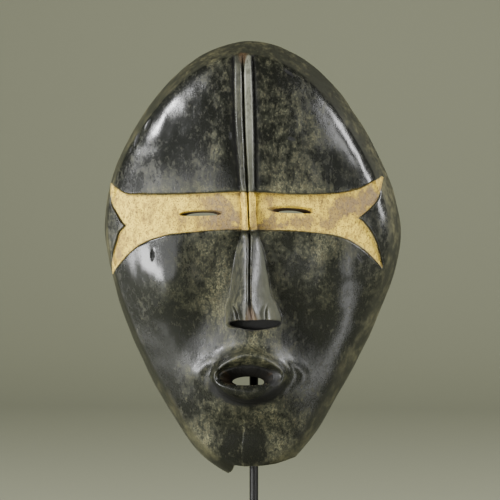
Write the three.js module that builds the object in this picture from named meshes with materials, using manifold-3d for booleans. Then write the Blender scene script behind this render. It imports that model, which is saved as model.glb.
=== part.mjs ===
// A carved wooden face mask on its display stand, in millimetres, +Z up.
// The mask faces -Y. The origin is the centre of the stand's underside.
// The mask is one solid: a domed shell, hollow behind, with a median ridge that runs into
// the nose, a sunk band across the eyes, two eye slits, open lips and a broken chin.
// Its own frame has x to the viewer's right, h upwards from the tip of the chin,
// and d forwards from the flat back rim.
import * as THREE from 'three';
import { mergeVertices } from 'three/addons/utils/BufferGeometryUtils.js';
import Module from 'manifold-3d';

const wasm = await Module();
wasm.setup();

// Where the mask sits on the stand
const CHIN_ABOVE_TABLE = 78;
const MASK_OFF_CENTRE = -0.3;
const TOUCH_GAP = 0.3;

// Outline of the mask, as a smooth curve drawn by sixteen radii around the brow.
// The first points to the viewer's right, and they go round over the crown.
const OUTLINE_CENTRE_H = 136;
const OUTLINE_RADII = [84, 80, 83.5, 95.5, 107.5, 97, 85.5, 82, 81.5, 80.5, 90, 109, 156, 106.5, 88, 82];

// Side wall: widest part way back, drawn in to the front edge and to the back rim
const WIDEST_DEPTH = 20;
const EDGE_INSET = { mean: 4.2, right: 1.4, ends: 3.4 };
const EDGE_DEPTH = { mean: 36, crown: 4 };
const SIDE_BULGE = { mean: 1.65, crown: -0.35 };
const REAR_INSET = 3;
const RIM_WIDTH = 10;
const WALL = 8.5;
const HOLLOW_CORNER = 4;

// The dome of the face above its front edge: a broad curve, and a share of it that rolls off
// close to the edge, tightly above and softly at the jaw
const DOME_RISE = 15;
const DOME_POWER = 2.3;
const ROLL_SHARE = { mean: 0.28, crown: -0.04 };
const ROLL_POWER = { mean: 13, crown: 7, right: 5 };
const MOUNDS = [
  { part: 'brow', x: 0, h: 172, rise: 2.5, across: 60, along: 30 },
  { part: 'left cheek hollow', x: -25, h: 93, rise: -5, across: 13, along: 24 },
  { part: 'right cheek hollow', x: 29, h: 93, rise: -5, across: 13, along: 24 },
  { part: 'left cheekbone', x: -42, h: 107, rise: 9, across: 16, along: 15 },
  { part: 'right cheekbone', x: 46, h: 110, rise: 7, across: 16, along: 15 },
  { part: 'muzzle', x: 1, h: 57, rise: 7.5, across: 24, along: 17 },
  { part: 'hollow under the lip', x: 1, h: 24, rise: -4, across: 23, along: 6.5 },
  { part: 'left end of the band', x: -67, h: 146, rise: 1.8, across: 5, along: 8 },
];

// Median ridge and nose, as stations of [height, value]
const CROWN_H = 232;
const NOSE_TIP_H = 88.5;
const RIDGE_CENTRE = [[232, -3.2], [196, -1.7], [158, 0.3], [134, 1.1], [99, 1.5], [88.5, 2.9]];
const RIDGE_HALF_WIDTH = [[232, 4.8], [196, 5.1], [158, 4], [137, 4.2], [125, 7.7], [112.5, 9.9], [100, 11.8],
  [95, 14.3], [88.5, 15.5]];
const RIDGE_RISE = [[232, 2.4], [190, 2.8], [158, 3], [136, 4], [112, 12], [88.5, 20.5]];
const RIDGE_ROUNDING = [[232, 12], [158, 10], [136, 4], [112, 2.6], [88.5, 2.2]];
const RIDGE_ROOF = { left: 0.2, right: 0.45 };
const GROOVE_HALF_WIDTH = [[232, 1.8], [226, 1.1], [220, 0.75], [158, 0.75], [136, 0.55], [104, 0.5], [96, 0.9],
  [88.5, 2.6]];
const GROOVE_DEPTH = [[232, 2.2], [224, 1.5], [136, 1.5], [104, 1.3], [88.5, 2.2]];
const WING_RISE = 3.2;
const WING_SPAN = [101, 92];
const WING_PLACE = 0.75;
const WING_WIDTH = 0.16;
const NOSTRIL_POCKET = { x: 3.8, h: 85.1, halfLength: 13.9, up: 3.5, down: 3.4, upPower: 2.2, downPower: 1.6 };
const POCKET_BELOW_FACE = 4;
const POCKET_LENGTH = 28;

// Sunk band across the eyes. Its ends fork into an upper and a lower horn.
const BAND_SINK = 2;
const BAND_OVERRUN = 14;
const BAND_TOP = [[-75.3, 160.5], [-68, 155.9], [-58, 155.4], [-36, 155.6], [0, 157.2], [27, 155.7], [49, 156.4],
  [62, 158.9], [68, 161.6], [73.8, 165.6]];
const BAND_BOTTOM = [[72.9, 115.2], [65, 123.8], [54, 131.3], [40, 134.8], [18, 136.5], [-13, 136.6], [-36, 134.8],
  [-47, 133.1], [-61, 127.4], [-70.6, 118.5], [-75, 112.7]];
const LEFT_FORK = { tip: [-67.8, 138.3], up: [-75.5, 148], down: [-73.5, 127] };
const RIGHT_FORK = { tip: [60, 142.8], up: [70, 151.5], down: [69.5, 132.5] };

// Holes through the wood: lenses of half a length, with how far and how roundly they bow up and
// down, and how they drift and shrink on their way to the back of the wall
const EYES = [
  {
    x: -25.4, h: 145.2, halfLength: 11.3, up: 1.9, down: 1.2, upPower: 2.2, downPower: 3,
    behind: { x: 0.8, h: -0.9, length: 0.86, height: 0.8 },
  },
  {
    x: 25.3, h: 147.2, halfLength: 12.4, up: 2.3, down: 1.6, upPower: 2, downPower: 3,
    behind: { x: -1.4, h: -1.1, length: 0.56, height: 0.7 },
  },
];
const OPENING = {
  x: -1, h: 56.5, halfLength: 15, up: 5.3, down: 4.5, upPower: 2.3, downPower: 2.6,
  behind: { x: 0.1, h: -3.3, length: 0.72, height: 0.625 },
};
const HOLE_OVERRUN = 6;
const LIPS_OVER_HOLE = 3;

// Lips: their outline, and the height of each over the face by how far out a point is from the
// opening (0) to that outline (1)
const MOUTH = { x: 1.2, h: 56.5 };
const LIPS = { halfLength: 20.2, up: 13.4, down: 14.8, upPower: 1.55, downPower: 1.9 };
const UPPER_LIP = [[2.4, 0], [1.7, 0.8], [1.3, 3.0], [1.08, 6.2], [0.9, 7.8], [0.7, 6.9], [0.4, 4.4], [0, 2.0]];
const LOWER_LIP = [[1.7, 0], [1.3, 0], [1.08, 0.8], [0.92, 4.2], [0.72, 7.2], [0.5, 8.0], [0.22, 7.4], [0, 4.6]];
const LIP_SPAN = [-0.25, 1.65];
const LIP_ROOT = 6;

// Broken edge of the chin, right of the tongue that is left
const BREAK_EDGE = [[-12.6, -0.4], [-11, 0.4], [-9.9, 1.7], [-9.3, 3.6], [-9.3, 5.2], [-3, 4.5], [5, 4.7],
  [14.5, 5.9], [24, 8.6], [28, 8]];

// Stand
const BASE = { width: 130, depth: 110, thickness: 10, corner: 4, bevel: 0.8 };
const ROD_RADIUS = 2.5;
const ROD_BEHIND_CENTRE = 26;
const SOCKET_DEPTH = 7;
const ROD_BEND_START_H = 172;
const ROD_BEND_END_H = 200;
const ROD_TOP_FORWARD = 20;
const HEAD_BAR_HALF_LENGTH = 20;
const HEAD_BAR_RADIUS = 34;
const HEAD_BAR_H = 217.2;

// How finely the curved surfaces are divided
const ROUND = 60;
const FACE_RINGS = 20;
const SIDE_RINGS = 6;
const HOLLOW_RINGS = 8;

const FACE_FRONT = 120;
const clamp01 = (t) => Math.min(1, Math.max(0, t));
const bell = (t) => Math.exp(-0.5 * t * t);

const smoothstep = (low, high, value) => {
  const t = clamp01((value - low) / (high - low));
  return t * t * (3 - 2 * t);
};

// Value at a place, on a smooth curve through stations listed from high to low
function along(stations, place) {
  const last = stations.length - 1;
  let i = 0;
  while (i < last - 1 && place < stations[i + 1][0]) i += 1;
  const at = (k) => stations[Math.min(last, Math.max(0, k))];
  const [h1, v1] = at(i);
  const [h2, v2] = at(i + 1);
  const t = clamp01((place - h1) / (h2 - h1));
  const slope = (a, b) => ((at(b)[1] - at(a)[1]) / (at(b)[0] - at(a)[0])) * (h2 - h1);
  const m1 = slope(Math.max(0, i - 1), i + 1);
  const m2 = slope(i, Math.min(last, i + 2));
  const t2 = t * t;
  const t3 = t2 * t;
  return (2 * t3 - 3 * t2 + 1) * v1 + (t3 - 2 * t2 + t) * m1 + (3 * t2 - 2 * t3) * v2 + (t3 - t2) * m2;
}

// Distance from the centre to the mask's widest outline, in a direction
function reach(angle) {
  const count = OUTLINE_RADII.length;
  const turn = (((angle / (2 * Math.PI)) % 1) + 1) % 1;
  const i = Math.floor(turn * count);
  const f = turn * count - i;
  const r = (k) => OUTLINE_RADII[(i + k + count) % count];
  const weights = [(1 - f) ** 3, 3 * f ** 3 - 6 * f * f + 4, -3 * f ** 3 + 3 * f * f + 3 * f + 1, f ** 3];
  return weights.reduce((sum, w, k) => sum + w * r(k - 1), 0) / 6;
}

function edgeInset(angle) {
  return EDGE_INSET.mean + EDGE_INSET.right * Math.cos(angle) + EDGE_INSET.ends * Math.sin(angle) ** 2;
}

// A value with a mean that grows towards the crown and towards the viewer's right
const around = ({ mean, crown, right = 0 }, angle) => mean + crown * Math.sin(angle) + right * Math.cos(angle);

// Depth of the face's front surface, without ridge, nose and lips
function faceDepth(x, h) {
  const angle = Math.atan2(h - OUTLINE_CENTRE_H, x);
  const out = Math.min(1, Math.hypot(x, h - OUTLINE_CENTRE_H) / (reach(angle) - edgeInset(angle)));
  const mound = (m) => m.rise * bell((x - m.x) / m.across) * bell((h - m.h) / m.along);
  const rise = MOUNDS.reduce((sum, m) => sum + mound(m), DOME_RISE);
  const share = around(ROLL_SHARE, angle);
  const fall = (1 - share) * out ** DOME_POWER + share * out ** around(ROLL_POWER, angle);
  return around(EDGE_DEPTH, angle) + rise * (1 - fall);
}

// How far out of a lens a point is: 1 on its outline, and in proportion along any ray
function lensNorm(lens, across, up) {
  const power = up >= 0 ? lens.upPower : lens.downPower;
  const height = up >= 0 ? lens.up : lens.down;
  return (Math.abs(across / lens.halfLength) ** power + Math.abs(up / height) ** power) ** (1 / power);
}

// Height of the ridge and nose over the face
function ridgeHeight(x, h) {
  const offset = x - along(RIDGE_CENTRE, h);
  const out = Math.min(1, Math.abs(offset) / along(RIDGE_HALF_WIDTH, h));
  const roof = offset < 0 ? RIDGE_ROOF.left : RIDGE_ROOF.right;
  const section = 1 - roof * out - (1 - roof) * out ** along(RIDGE_ROUNDING, h);
  const lobe = WING_RISE * smoothstep(...WING_SPAN, h) * bell((out - WING_PLACE) / WING_WIDTH) * (1 - out ** 8);
  const groove = along(GROOVE_DEPTH, h) * bell((1.4 * offset) / along(GROOVE_HALF_WIDTH, h));
  return along(RIDGE_RISE, h) * section + lobe - groove;
}

// Height of the lips over the face, by how far out a point is and the sine of its direction
function lipHeight(out, upward) {
  const towardsUpper = smoothstep(-0.35, 0.35, upward);
  return along(LOWER_LIP, out) * (1 - towardsUpper) + along(UPPER_LIP, out) * towardsUpper;
}

// A closed mesh with only its positions, as a solid for joining and cutting
function solid(geometry) {
  geometry.deleteAttribute('normal');
  geometry.deleteAttribute('uv');
  const merged = mergeVertices(geometry, 1e-4);
  return new wasm.Manifold(new wasm.Mesh({
    numProp: 3,
    vertProperties: merged.attributes.position.array,
    triVerts: new Uint32Array(merged.index.array),
  }));
}

function geometryOf(manifold) {
  const mesh = manifold.getMesh();
  const geometry = new THREE.BufferGeometry();
  geometry.setAttribute('position', new THREE.BufferAttribute(mesh.vertProperties, 3));
  geometry.setIndex(new THREE.BufferAttribute(mesh.triVerts, 1));
  const flat = geometry.toNonIndexed();
  flat.computeVertexNormals();
  return flat;
}

// Places a point of the mask's own frame
const place = (x, h, d) => new THREE.Vector3(x, -d, h);

// A globe whose front pole is the centre of the face. surface() turns how far a vertex is
// from that pole, 0 to 1 in even steps, and its angle, into a point.
function globe(segments, rings, surface) {
  const geometry = new THREE.SphereGeometry(1, segments, rings);
  const p = geometry.attributes.position;
  for (let i = 0; i < p.count; i += 1) {
    const polar = Math.acos(THREE.MathUtils.clamp(p.getY(i), -1, 1)) / Math.PI;
    const back = 1 - Math.round(polar * rings) / rings;
    const spoke = Math.round((Math.atan2(p.getZ(i), p.getX(i)) / (2 * Math.PI)) * segments);
    const point = surface(back, (spoke / segments) * 2 * Math.PI);
    p.setXYZ(i, point.x, point.y, point.z);
  }
  return solid(geometry);
}

// The mask's body with a flat back, its face lowered by a given amount
function body(lowered) {
  const rings = FACE_RINGS + SIDE_RINGS + 1;
  return globe(ROUND, rings, (back, angle) => {
    const ring = Math.round(back * rings);
    const cos = Math.cos(angle);
    const sin = Math.sin(angle);
    const at = (r, d) => place(r * cos, OUTLINE_CENTRE_H + r * sin, d);
    if (ring <= FACE_RINGS) {
      const r = (reach(angle) - edgeInset(angle)) * (1 - (1 - ring / FACE_RINGS) ** 1.4);
      return at(r, faceDepth(r * cos, OUTLINE_CENTRE_H + r * sin) - lowered);
    }
    if (ring === rings) return at(0, 0);
    const front = around(EDGE_DEPTH, angle);
    const d = (front - lowered) * (1 - (ring - FACE_RINGS) / SIDE_RINGS);
    const fore = clamp01((d - WIDEST_DEPTH) / (front - WIDEST_DEPTH));
    const aft = clamp01((WIDEST_DEPTH - d) / WIDEST_DEPTH);
    return at(reach(angle) - edgeInset(angle) * fore ** around(SIDE_BULGE, angle) - REAR_INSET * aft ** 2, d);
  });
}

// The hollow behind the face, open at the back rim
function hollow() {
  const rings = HOLLOW_RINGS + 1;
  const behind = 5;
  return globe(ROUND, rings, (back, angle) => {
    const ring = Math.round(back * rings);
    if (ring === rings) return place(0, OUTLINE_CENTRE_H, -behind);
    const rim = reach(angle) - REAR_INSET - RIM_WIDTH;
    const out = Math.sin((ring / HOLLOW_RINGS) * (Math.PI / 2));
    const x = rim * out * Math.cos(angle);
    const h = OUTLINE_CENTRE_H + rim * out * Math.sin(angle);
    const depth = (faceDepth(x, h) - WALL) * (1 - out ** HOLLOW_CORNER) ** 0.4;
    return place(x, h, ring === HOLLOW_RINGS ? -behind : depth);
  });
}

// A flat shape in the plane of the face, as a bar from front to back
function prism(shape, front, rear, steps) {
  const depth = front - rear;
  const geometry = new THREE.ExtrudeGeometry(shape, { depth, bevelEnabled: false, curveSegments: steps });
  geometry.rotateX(Math.PI / 2);
  geometry.translate(0, -rear, 0);
  return solid(geometry);
}

// Ridge and nose: a bar whose front is carved to a section that changes with height
function ridgeAndNose() {
  const rows = 28;
  const halfAcross = [0, 0.2, 0.36, 0.56, 0.68, 0.8, 0.92, 1];
  const last = halfAcross.length - 1;
  const root = 9;
  const geometry = new THREE.BoxGeometry(2, 2, 1, 2 * last, rows, 1);
  geometry.rotateX(Math.PI / 2);
  const p = geometry.attributes.position;
  for (let i = 0; i < p.count; i += 1) {
    const column = Math.round(p.getX(i) * last);
    const row = (1 - p.getZ(i)) / 2;
    const h = CROWN_H + (NOSE_TIP_H - CROWN_H) * row ** 0.9;
    const half = along(RIDGE_HALF_WIDTH, h);
    const besideGroove = Math.min(0.3, (1.5 * along(GROOVE_HALF_WIDTH, h)) / half);
    const out = Math.abs(column) === 1 ? besideGroove : halfAcross[Math.abs(column)];
    const x = along(RIDGE_CENTRE, h) + Math.sign(column) * out * half;
    const point = place(x, h, faceDepth(x, h) + (p.getY(i) < 0 ? ridgeHeight(x, h) : -root));
    p.setXYZ(i, point.x, point.y, point.z);
  }
  return solid(geometry);
}

// A lens as a flat shape around its centre
function lensShape(lens, steps) {
  const points = [];
  for (let i = 0; i < steps; i += 1) {
    const angle = ((i + 0.5) / steps) * 2 * Math.PI;
    const across = lens.halfLength * Math.cos(angle);
    const up = (angle < Math.PI ? lens.up : lens.down) * Math.sin(angle);
    const reached = lensNorm(lens, across, up);
    points.push(new THREE.Vector2(across / reached, up / reached));
  }
  return new THREE.Shape(points);
}

// What a hole takes out: its lens at a height over the face, drawn in on its way through the wall
function holeCut(hole, proud, steps) {
  const front = faceDepth(hole.x, hole.h) + proud;
  const rear = faceDepth(hole.x, hole.h) - WALL;
  const extra = HOLE_OVERRUN / (front - rear);
  const geometry = new THREE.ExtrudeGeometry(lensShape(hole, steps), { depth: 1, bevelEnabled: false });
  const p = geometry.attributes.position;
  for (let i = 0; i < p.count; i += 1) {
    const share = p.getZ(i) > 0.5 ? -extra : 1 + extra;
    const x = hole.x + p.getX(i) * (1 + (hole.behind.length - 1) * share) + hole.behind.x * share;
    const h = hole.h + p.getY(i) * (1 + (hole.behind.height - 1) * share) + hole.behind.h * share;
    const point = place(x, h, front - share * (front - rear));
    p.setXYZ(i, point.x, point.y, point.z);
  }
  return solid(geometry);
}

// Distance from the middle of the mouth to a lens's outline, in a direction
function lensReach(lens, across, up) {
  let distance = lens.up;
  for (let i = 0; i < 12; i += 1) {
    distance /= lensNorm(lens, MOUTH.x - (lens.x ?? MOUTH.x) + distance * across, distance * up);
  }
  return distance;
}

// The lips: a ring around the opening, its front carved to the section of each lip
function lips() {
  const section = 16;
  const turns = 44;
  const geometry = new THREE.TorusGeometry(2, 1, section, turns);
  geometry.rotateX(Math.PI / 2);
  const p = geometry.attributes.position;
  for (let i = 0; i < p.count; i += 1) {
    const turn = Math.round((Math.atan2(p.getZ(i), p.getX(i)) / (2 * Math.PI)) * turns);
    const angle = (turn / turns) * 2 * Math.PI;
    const cos = Math.cos(angle);
    const sin = Math.sin(angle);
    const across = (Math.hypot(p.getX(i), p.getZ(i)) - 1) / 2;
    const out = LIP_SPAN[0] + (LIP_SPAN[1] - LIP_SPAN[0]) * across;
    const inner = lensReach(OPENING, cos, sin);
    const distance = inner + (lensReach(LIPS, cos, sin) - inner) * out;
    const x = MOUTH.x + distance * cos;
    const h = MOUTH.h + distance * sin;
    const behindFace = p.getY(i) > 1e-4;
    const above = behindFace ? -LIP_ROOT * p.getY(i) : lipHeight(Math.max(0, out), sin);
    const point = place(x, h, faceDepth(x, h) + above);
    p.setXYZ(i, point.x, point.y, point.z);
  }
  return solid(geometry);
}

// The dark wedge of temple that stands between the horns at one end of the band
function temple(fork, outward) {
  const beyond = outward * (Math.abs(fork.up[0]) + BAND_OVERRUN + 20);
  const shape = new THREE.Shape();
  shape.moveTo(fork.tip[0], fork.tip[1]);
  shape.quadraticCurveTo(fork.up[0], fork.up[1], fork.up[0] + outward * 2.5, fork.up[1] + 12);
  shape.lineTo(beyond, fork.up[1] + 14);
  shape.lineTo(beyond, fork.down[1] - 14);
  shape.lineTo(fork.down[0] + outward * 1.5, fork.down[1] - 14);
  shape.quadraticCurveTo(fork.down[0], fork.down[1], fork.tip[0], fork.tip[1]);
  return prism(shape, FACE_FRONT, 0, 6);
}

// What the carver took out for the band: its strip, down to a lowered copy of the face
function bandCut() {
  const strip = new THREE.Shape();
  strip.moveTo(...BAND_TOP[0]);
  strip.splineThru(BAND_TOP.slice(1).map(([x, h]) => new THREE.Vector2(x, h)));
  strip.lineTo(...BAND_BOTTOM[0]);
  strip.splineThru(BAND_BOTTOM.slice(1).map(([x, h]) => new THREE.Vector2(x, h)));
  strip.closePath();
  return prism(strip, FACE_FRONT, 0, 3)
    .subtract(temple(LEFT_FORK, -1))
    .subtract(temple(RIGHT_FORK, 1))
    .subtract(body(BAND_SINK));
}

function nostrilPocket() {
  const { x, h } = NOSTRIL_POCKET;
  const rear = faceDepth(x, h) - POCKET_BELOW_FACE;
  return prism(lensShape(NOSTRIL_POCKET, 20), rear + POCKET_LENGTH, rear, 1).translate([x, 0, h]);
}

function brokenChin() {
  const shape = new THREE.Shape();
  shape.moveTo(BREAK_EDGE[0][0], -20);
  BREAK_EDGE.forEach(([x, h]) => shape.lineTo(x, h));
  shape.lineTo(BREAK_EDGE.at(-1)[0], -20);
  return prism(shape, FACE_FRONT, -20, 1);
}

function mask() {
  let wood = body(0).subtract(bandCut());
  wood = wood.add(ridgeAndNose()).add(lips());
  wood = wood.subtract(hollow()).subtract(nostrilPocket());
  EYES.forEach((eye) => {
    wood = wood.subtract(holeCut(eye, -BAND_SINK, 20));
  });
  return wood.subtract(holeCut(OPENING, LIPS_OVER_HOLE, 28)).subtract(brokenChin());
}

// Round bar bent along a path
function bar(path, steps) {
  const sides = 10;
  const section = new THREE.Shape();
  for (let i = 0; i < sides; i += 1) {
    const angle = ((i + 0.5) / sides) * 2 * Math.PI;
    const radius = ROD_RADIUS;
    if (i === 0) section.moveTo(radius * Math.cos(angle), radius * Math.sin(angle));
    else section.lineTo(radius * Math.cos(angle), radius * Math.sin(angle));
  }
  section.closePath();
  return new THREE.ExtrudeGeometry(section, { steps, extrudePath: path, bevelEnabled: false });
}

const RIM_Y = ROD_BEHIND_CENTRE - ROD_RADIUS - TOUCH_GAP;

// Upright: out of its socket, straight up behind the chin, then forward into the hollow
function uprightPath() {
  const y = ROD_BEHIND_CENTRE;
  const topY = RIM_Y - ROD_TOP_FORWARD;
  const start = CHIN_ABOVE_TABLE + ROD_BEND_START_H;
  const end = CHIN_ABOVE_TABLE + ROD_BEND_END_H;
  const top = CHIN_ABOVE_TABLE + HEAD_BAR_H - ROD_RADIUS - 1.5 * TOUCH_GAP;
  const third = (end - start) / 2.2;
  const path = new THREE.CurvePath();
  const at = (depthwise, z) => new THREE.Vector3(0, depthwise, z);
  path.add(new THREE.LineCurve3(at(y, BASE.thickness - SOCKET_DEPTH + TOUCH_GAP), at(y, start)));
  path.add(new THREE.CubicBezierCurve3(at(y, start), at(y, start + third), at(topY, end - third), at(topY, end)));
  path.add(new THREE.LineCurve3(at(topY, end), at(topY, top)));
  return path;
}

function headBarPath() {
  const spread = HEAD_BAR_HALF_LENGTH / HEAD_BAR_RADIUS;
  const centreZ = CHIN_ABOVE_TABLE + HEAD_BAR_H - HEAD_BAR_RADIUS;
  const points = [-1, -0.5, 0, 0.5, 1].map((t) => new THREE.Vector3(
    HEAD_BAR_RADIUS * Math.sin(t * spread),
    RIM_Y - ROD_TOP_FORWARD,
    centreZ + HEAD_BAR_RADIUS * Math.cos(t * spread),
  ));
  return new THREE.CatmullRomCurve3(points);
}

function base() {
  const { width, depth, thickness, corner, bevel } = BASE;
  const x = width / 2 - bevel;
  const y = depth / 2 - bevel;
  const shape = new THREE.Shape();
  shape.moveTo(-x + corner, -y);
  shape.lineTo(x - corner, -y);
  shape.absarc(x - corner, -y + corner, corner, -Math.PI / 2, 0, false);
  shape.lineTo(x, y - corner);
  shape.absarc(x - corner, y - corner, corner, 0, Math.PI / 2, false);
  shape.lineTo(-x + corner, y);
  shape.absarc(-x + corner, y - corner, corner, Math.PI / 2, Math.PI, false);
  shape.lineTo(-x, -y + corner);
  shape.absarc(-x + corner, -y + corner, corner, Math.PI, 1.5 * Math.PI, false);
  const plate = new THREE.ExtrudeGeometry(shape, {
    depth: thickness - 2 * bevel, bevelSize: bevel, bevelThickness: bevel, bevelSegments: 1, curveSegments: 4,
  });
  plate.translate(0, 0, bevel);
  const socket = new THREE.CylinderGeometry(ROD_RADIUS + TOUCH_GAP, ROD_RADIUS + TOUCH_GAP, 2 * SOCKET_DEPTH, 20);
  socket.rotateX(Math.PI / 2);
  socket.translate(0, ROD_BEHIND_CENTRE, thickness);
  return solid(plate).subtract(solid(socket));
}

const PATINATED_WOOD = new THREE.MeshStandardMaterial({ color: 0x2b2721, roughness: 0.35, metalness: 0 });
const BLACK_STEEL = new THREE.MeshStandardMaterial({ color: 0x111111, roughness: 0.5, metalness: 0.2 });

const maskMesh = new THREE.Mesh(geometryOf(mask()), PATINATED_WOOD);
maskMesh.name = 'mask';
maskMesh.position.set(MASK_OFF_CENTRE, RIM_Y, CHIN_ABOVE_TABLE);

const upright = new THREE.Mesh(bar(uprightPath(), 40), BLACK_STEEL);
upright.name = 'stand_upright';

const headBar = new THREE.Mesh(bar(headBarPath(), 12), BLACK_STEEL);
headBar.name = 'stand_head_bar';

const baseMesh = new THREE.Mesh(geometryOf(base()), BLACK_STEEL);
baseMesh.name = 'stand_base';

const part = new THREE.Group();
part.add(maskMesh, upright, headBar, baseMesh);
export default part;
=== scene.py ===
"""A carved and waxed wooden face mask on a rod stand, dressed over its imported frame.

The mask's own frame has x to the viewer's right, h upwards from the tip of the chin and
d forwards from the flat back rim, all in millimetres. place() puts such a point in the scene.
"""
import math

import bmesh
import bpy
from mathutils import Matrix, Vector, noise


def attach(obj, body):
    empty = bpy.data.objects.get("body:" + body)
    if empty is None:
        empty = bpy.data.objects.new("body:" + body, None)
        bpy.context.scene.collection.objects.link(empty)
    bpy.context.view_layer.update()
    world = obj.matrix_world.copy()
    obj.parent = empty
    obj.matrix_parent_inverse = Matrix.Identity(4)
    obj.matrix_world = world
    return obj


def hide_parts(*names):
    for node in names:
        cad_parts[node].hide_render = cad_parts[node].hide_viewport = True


MM = 0.001

# Where the mask sits on the stand
CHIN_ABOVE_TABLE = 78
MASK_OFF_CENTRE = -0.3
TOUCH_GAP = 0.3
ROD_RADIUS = 2.5
ROD_BEHIND_CENTRE = 26
ROD_FOOT_Z = 3.3
ROD_BEND = {"start": 172, "end": 200, "forward": 20}
HEAD_BAR = {"half length": 20, "radius": 34, "h": 217.2}
RIM_Y = ROD_BEHIND_CENTRE - ROD_RADIUS - TOUCH_GAP

# Outline and side wall
OUTLINE_CENTRE_H = 136
OUTLINE_RADII = [84, 80, 83.5, 95.5, 107.5, 97, 85.5, 82, 81.5, 80.5, 90, 109, 156, 106.5, 88, 82]
WIDEST_DEPTH = 20
EDGE_INSET = {"mean": 4.2, "right": 1.4, "ends": 3.4}
EDGE_DEPTH = {"mean": 36, "crown": 4}
SIDE_BULGE = {"mean": 1.65, "crown": -0.35}
REAR_INSET = 3
RIM_WIDTH = 10
WALL = 8.5
HOLLOW_CORNER = 4

# The dome of the face: a broad curve that rolls off near the edge, tightly above and softly at the jaw
DOME_RISE = 15
DOME_POWER = 2.3
ROLL_SHARE = {"mean": 0.28, "crown": -0.04}
ROLL_POWER = {"mean": 13, "crown": 7, "right": 5}

# The mounds and hollows on the dome: x, h, rise, spread across, spread along
MOUNDS = {
    "brow": (0, 172, 2.5, 60, 30),
    "left cheek hollow": (-25, 93, -5, 13, 24),
    "right cheek hollow": (29, 93, -5, 13, 24),
    "left cheekbone": (-42, 107, 9, 16, 15),
    "right cheekbone": (46, 110, 7, 16, 15),
    "muzzle": (1, 57, 7.5, 24, 17),
    "hollow under the lip": (1, 24, -4, 23, 6.5),
    "left end of the band": (-67, 146, 1.8, 5, 8),
}

# Median ridge and nose, as stations of (height, value)
CROWN_H = 232
NOSE_TIP_H = 88.5
RIDGE_CENTRE = [(232, -3.2), (196, -1.7), (158, 0.3), (134, 1.1), (99, 1.5), (88.5, 2.9)]
RIDGE_HALF_WIDTH = [(232, 4.8), (196, 5.1), (158, 4), (137, 4.2), (125, 7.7), (112.5, 9.9), (100, 11.8),
                    (95, 14.3), (88.5, 15.5)]
RIDGE_RISE = [(232, 2.4), (190, 2.8), (158, 3), (136, 4), (112, 12), (88.5, 20.5)]
RIDGE_ROUNDING = [(232, 22), (166, 18), (156, 3.2), (136, 3), (112, 2.6), (88.5, 2.2)]
RIDGE_ROOF = {"left": 0.2, "right": 0.45}
GROOVE_HALF_WIDTH = [(232, 1.8), (226, 1.1), (220, 0.75), (158, 0.75), (136, 0.55), (104, 0.5), (96, 0.9),
                     (88.5, 2.6)]
GROOVE_DEPTH = [(232, 2.2), (224, 1.5), (136, 1.5), (104, 1.3), (88.5, 2.2)]
GROOVE_BEVEL = {"depth": 0.85, "width": 1.5}
CHANNEL = {"depth": 0.8, "width": 1.8}
WING_RISE = 3.2
WING_SPAN = (101, 92)
WING_PLACE = 0.75
WING_WIDTH = 0.16
CREASE_DEPTH = 2.0
CREASE_PLACE = [(101, 0.85), (97, 0.66), (93, 0.5), (88.5, 0.43)]
CREASE_WIDTH = 0.06
NOSTRIL_POCKET = {"x": 3.8, "h": 85.1, "half length": 13.9, "up": 3.5, "down": 3.4,
                  "up power": 2.2, "down power": 1.6}
POCKET_BELOW_FACE = 4
POCKET_LENGTH = 28
NOSE_HEEL = 6

# Sunk band across the eyes, as (x, height) along its edges and (height, x) along its forked ends
BAND_SINK = 2
BAND_MARGIN = 0.4
BAND_TOP = [(-80, 164), (-75.3, 160.5), (-68, 155.9), (-58, 155.4), (-36, 155.6), (0, 157.2), (27, 155.7),
            (49, 156.4), (61, 158.9), (66, 161.4), (70.5, 164), (74.5, 166.6)]
BAND_BOTTOM = [(-80, 105), (-75, 112.7), (-70.6, 118.5), (-61, 127.4), (-47, 133.1), (-36, 134.8),
               (-13, 136.6), (18, 136.5), (40, 134.8), (54, 131.6), (64.5, 124.6), (71.6, 116.8), (79, 107)]
LEFT_END = [(160.5, -77.5), (154.9, -76.4), (149.3, -75.2), (144.3, -72.1), (140, -69.3), (138.3, -67.8),
            (134.9, -70.9), (129.7, -72.8), (124, -74.7), (118.3, -75.8), (112.7, -77)]
RIGHT_END = [(168, 74.9), (165, 73.6), (158.8, 72), (153.2, 70.2), (148.3, 66.3), (144.5, 61.8), (142.8, 60),
             (141.2, 62), (136.1, 66.1), (130.4, 69), (124.7, 70.9), (116.5, 73)]
BAND_END_LEAN = 0.75
BAND_OUTER = {"past": 55, "lean": 0.8}
# The band's carved edge, from just outside its outline to just inside; how deep its floor is cut
# under the forehead's edge and where it crosses the ridge
BAND_WALL = (-0.35, 0.55)
UNDERCUT = {"depth": 1.1, "fades over": 4}
ON_RIDGE = {"band": 0.55, "undercut": 0.3}

# Eye slits. They narrow and slope down as they go back through the wood.
EYES = [
    {"x": -26.1, "h": 145.3, "half length": 12.1, "up": 1.9, "down": 1.2, "up power": 2.2, "down power": 3,
     "behind": {"x": -0.2, "h": -1.5, "length": 0.76, "height": 0.9}},
    {"x": 25.9, "h": 147.2, "half length": 13.2, "up": 2.3, "down": 1.6, "up power": 2, "down power": 3,
     "behind": {"x": -1.4, "h": -2.0, "length": 0.58, "height": 0.66}},
]

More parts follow.
